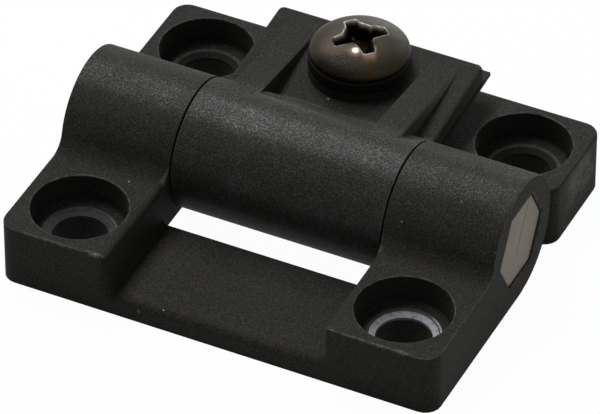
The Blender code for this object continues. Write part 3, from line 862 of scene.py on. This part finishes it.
class ScrewSettings(bpy.types.PropertyGroup):
    """Form of the adjusting screw."""

    head_steps: IntProperty(
        name="Head steps", description="Faces across the head", default=200, min=40, max=300
    )
    crown: FloatProperty(
        name="Crown", description="Height of the head's dome", default=2.45 * MM,
        unit="LENGTH", precision=5,
    )
    recess_turn: FloatProperty(
        name="Recess turn", description="Turn of the cross recess", default=radians(46),
        unit="ROTATION",
    )
    wing_reach: FloatProperty(
        name="Wing reach", description="Reach of the recess's wings from the middle",
        default=4.0 * MM, unit="LENGTH", precision=5,
    )
    wing_width: FloatProperty(
        name="Wing width", description="Width of the recess's wings at their ends",
        default=1.68 * MM, unit="LENGTH", precision=5,
    )
    worn_middle: FloatProperty(
        name="Worn middle", description="Radius of the recess's worn middle",
        default=2.15 * MM, unit="LENGTH", precision=5,
    )
    wall_slope: FloatProperty(
        name="Wall slope", description="Fall of the recess's walls", default=3.2
    )
    recess_depth: FloatProperty(
        name="Recess depth", description="Depth of the cross recess", default=2.6 * MM,
        unit="LENGTH", precision=5,
    )
    recess_wear: FloatProperty(
        name="Recess wear", description="How far the recess's rim is rounded", default=0.35 * MM,
        unit="LENGTH", precision=5,
    )
    rim_wear: FloatProperty(
        name="Rim wear", description="Breadth of the bright wear along the recess's rim",
        default=0.16 * MM, unit="LENGTH", precision=5,
    )
    thread_radius: FloatProperty(
        name="Thread radius", description="Outer radius of the thread", default=3.17 * MM,
        unit="LENGTH", precision=5,
    )
    thread_depth: FloatProperty(
        name="Thread depth", description="Depth of the thread", default=0.65 * MM,
        unit="LENGTH", precision=5,
    )
    thread_pitch: FloatProperty(
        name="Thread pitch", description="Rise of the thread in one turn", default=1.27 * MM,
        unit="LENGTH", precision=5,
    )


class StageSettings(bpy.types.PropertyGroup):
    """Camera, lamps and floor."""

    azimuth: FloatProperty(
        name="Azimuth", description="Camera's turn to the right of the front",
        default=radians(25.88), unit="ROTATION",
    )
    elevation: FloatProperty(
        name="Elevation", description="Camera's height above the floor",
        default=radians(39.795), unit="ROTATION",
    )
    distance: FloatProperty(
        name="Distance", description="Camera's distance from the hinge", default=0.8804,
        unit="LENGTH",
    )
    pixels: FloatProperty(
        name="Focal pixels", description="Focal length over the width of one pixel", default=6232.3
    )
    key_power: FloatProperty(name="Key", description="Overhead soft box in watts", default=6.4)
    key_breadth: FloatProperty(
        name="Key breadth", description="Short side of the overhead soft box", default=0.26,
        unit="LENGTH",
    )
    key_length: FloatProperty(
        name="Key length", description="Long side of the overhead soft box", default=0.62,
        unit="LENGTH",
    )
    rear_power: FloatProperty(name="Rear", description="Low rear lamp in watts", default=2.4)
    side_power: FloatProperty(name="Side", description="Right-hand lamp in watts", default=0.3)
    front_power: FloatProperty(name="Front", description="Front lamp in watts", default=0.22)
    world: FloatProperty(name="Surroundings", description="Light from all round", default=0.04)
    glow: FloatProperty(
        name="Glow", description="Share of plain white in the floor's look", default=0.97
    )


def placed(place, axes):
    """The matrix of something at a place, with its own X, Y and Z along three directions."""
    return Matrix.Translation(place) @ Matrix(axes).transposed().to_4x4()


# Where the camera aims, from the pin's middle, to its right and up in its picture
AIM_RIGHT = -0.6011 * MM
AIM_UP = 2.7268 * MM

OVERHEAD_PLACE = (-0.285, 0.203, 0.664)
REAR_PLACE = (0, 0.713, 0.232)
SIDE_PLACE = (0.575, 0, 0.482)
FRONT_PLACE = (0.222, -0.610, 0.375)
REAR_SIZE = (0.5, 0.2)
SQUARE_SIZE = (0.35, 0.35)

# The floor lies a little under the mounting plane, so that the two don't meet in one plane
FLOOR_DROP = 0.02 * MM
FLOOR_REACH = 1.5
FLOOR_TONE = (0.8, 0.8, 0.8)
WHITE = (1, 1, 1)


class HINGE_OT_leaves(bpy.types.Operator):
    """Finish both moulded leaves"""

    bl_idname = "hinge.leaves"
    bl_label = "Moulded Leaves"

    def execute(self, context):
        settings = context.scene.hinge_moulding
        for body, node, polish in (
            ("swinging_leaf", "front_leaf", settings.knuckle_sheen),
            ("clamping_leaf", "rear_leaf", settings.barrel_sheen),
        ):
            leaf = refined_copy(body + "_skin", node, edges=True)
            material = black_moulding(body + "_moulding", settings, polish)
            dress(leaf, material, body, "black_moulding", node)
        return {"FINISHED"}


class HINGE_OT_shaft(bpy.types.Operator):
    """Finish the shaft and its sleeves"""

    bl_idname = "hinge.shaft"
    bl_label = "Shaft and Sleeves"

    def execute(self, context):
        settings = context.scene.hinge_metal
        bar = refined_copy("hexagonal_bar", "hex_shaft")
        dress(bar, cast_metal(settings), "swinging_leaf", "cast_shaft", "hex_shaft")
        for node in ("upper_friction_sleeve", "lower_friction_sleeve"):
            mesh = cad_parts[node].data
            mesh.materials.clear()
            mesh.materials.append(bearing_plastic(node + "_plastic", settings))
        return {"FINISHED"}


class HINGE_OT_screw(bpy.types.Operator):
    """Make the adjusting screw with its washer and finish the nut"""

    bl_idname = "hinge.screw"
    bl_label = "Screw, Washer and Nut"

    def execute(self, context):
        settings = context.scene.hinge_metal
        screw = link_mesh("cross_recess_screw", screw_shape(context.scene.hinge_screw))
        smooth(screw, SCREW_SMOOTH)
        dress(screw, aged_steel_with_painted_light(settings), "screw", "screw_steel", "adjusting_screw")
        washer = link_mesh("rounded_washer", washer_shape())
        smooth(washer, SCREW_SMOOTH)
        dress(washer, black_washer(settings), "washer", "washer_steel", "screw_washer")
        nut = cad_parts["captive_nut"].data
        nut.materials.clear()
        nut.materials.append(zinc_plate(settings))
        return {"FINISHED"}


class HINGE_OT_stage(bpy.types.Operator):
    """Set the camera, the lamps and the floor"""

    bl_idname = "hinge.stage"
    bl_label = "Stage"

    def execute(self, context):
        settings = context.scene.hinge_stage
        self.camera(context, settings)
        overhead_size = (settings.key_breadth, settings.key_length)
        self.lamp("overhead", OVERHEAD_PLACE, overhead_size, settings.key_power)
        self.lamp("rear", REAR_PLACE, REAR_SIZE, settings.rear_power)
        self.lamp("side", SIDE_PLACE, SQUARE_SIZE, settings.side_power)
        self.lamp("front", FRONT_PLACE, SQUARE_SIZE, settings.front_power)
        self.world(context, settings)
        self.floor(settings)
        context.scene.view_settings.view_transform = "Standard"
        return {"FINISHED"}

    @staticmethod
    def camera(context, settings):
        az, el = settings.azimuth, settings.elevation
        back = Vector((sin(az) * cos(el), -cos(az) * cos(el), sin(el)))
        right = Vector((cos(az), sin(az), 0))
        up = back.cross(right)
        aim = Vector((0, PIN_Y, 0)) + right * AIM_RIGHT + up * AIM_UP
        data = bpy.data.cameras.new("portrait")
        data.sensor_width = SENSOR_WIDTH
        data.lens = settings.pixels * SENSOR_WIDTH / IMAGE_WIDTH
        data.clip_start = 0.01
        camera = bpy.data.objects.new("portrait", data)
        camera.matrix_world = placed(aim + back * settings.distance, (right, up, back))
        context.scene.collection.objects.link(camera)
        context.scene.camera = camera

    @staticmethod
    def lamp(name, place, size, power):
        """A soft box that faces the hinge, its second side as near to the Y axis as it can be."""
        data = bpy.data.lights.new(name, "AREA")
        data.shape = "RECTANGLE"
        data.size, data.size_y = size
        data.energy = power
        away = Vector(place).normalized()
        side = Vector((0, 1, 0)).cross(away).normalized()
        lamp = bpy.data.objects.new(name, data)
        lamp.matrix_world = placed(place, (side, away.cross(side), away))
        bpy.context.scene.collection.objects.link(lamp)

    @staticmethod
    def seen(finish):
        """1 for rays that show the background itself: straight, mirrored or let through."""
        path = finish.node("ShaderNodeLightPath", output="Is Camera Ray")
        return (path + path.output("Is Glossy Ray") + path.output("Is Transmission Ray")).at_most(1)

    def world(self, context, settings):
        world = bpy.data.worlds.new("studio")
        finish = Finish(world=world)
        strength = self.seen(finish) * (1 - settings.world) + settings.world
        light = finish.node("ShaderNodeBackground", inputs={"Strength": strength})
        finish.node("ShaderNodeOutputWorld", inputs={"Surface": light})
        context.scene.world = world

    def floor(self, settings):
        shape = bmesh.new()
        bmesh.ops.create_grid(shape, x_segments=1, y_segments=1, size=FLOOR_REACH)
        bmesh.ops.translate(shape, verts=shape.verts, vec=(0, 0, -FLOOR_DROP))
        floor = link_mesh("floor", shape)
        finish = Finish("pale_floor")
        matte = finish.node("ShaderNodeBsdfDiffuse", inputs={"Color": colour(FLOOR_TONE)})
        white = finish.node("ShaderNodeEmission", inputs={"Color": colour(WHITE)})
        both = finish.node(
            "ShaderNodeMixShader", inputs=(self.seen(finish) * settings.glow, matte, white)
        )
        finish.node("ShaderNodeOutputMaterial", inputs={"Surface": both})
        floor.data.materials.append(finish.owner)


class HINGE_PT_panel(bpy.types.Panel):
    """Lists the steps in the order in which they run"""

    bl_label = "Hinge"
    bl_space_type = "VIEW_3D"
    bl_region_type = "UI"
    bl_category = "Hinge"

    def draw(self, context):
        for operator in OPERATORS:
            self.layout.operator(operator.bl_idname)
        for group in SETTINGS:
            settings = getattr(context.scene, group)
            box = self.layout.box()
            for name in settings.bl_rna.properties.keys():
                if name not in {"name", "rna_type"}:
                    box.prop(settings, name)


OPERATORS = (HINGE_OT_leaves, HINGE_OT_shaft, HINGE_OT_screw, HINGE_OT_stage)
SETTINGS = {
    "hinge_moulding": MouldingSettings,
    "hinge_metal": MetalSettings,
    "hinge_screw": ScrewSettings,
    "hinge_stage": StageSettings,
}


def register():
    for cls in (*SETTINGS.values(), *OPERATORS, HINGE_PT_panel):
        bpy.utils.register_class(cls)
    for name, cls in SETTINGS.items():
        setattr(bpy.types.Scene, name, PointerProperty(type=cls))


def unregister():
    for name in SETTINGS:
        delattr(bpy.types.Scene, name)
    for cls in (HINGE_PT_panel, *reversed(OPERATORS), *reversed(SETTINGS.values())):
        bpy.utils.unregister_class(cls)


def main():
    register()
    bpy.ops.hinge.leaves()
    bpy.ops.hinge.shaft()
    bpy.ops.hinge.screw()
    bpy.ops.hinge.stage()


if __name__ == "__main__":
    main()
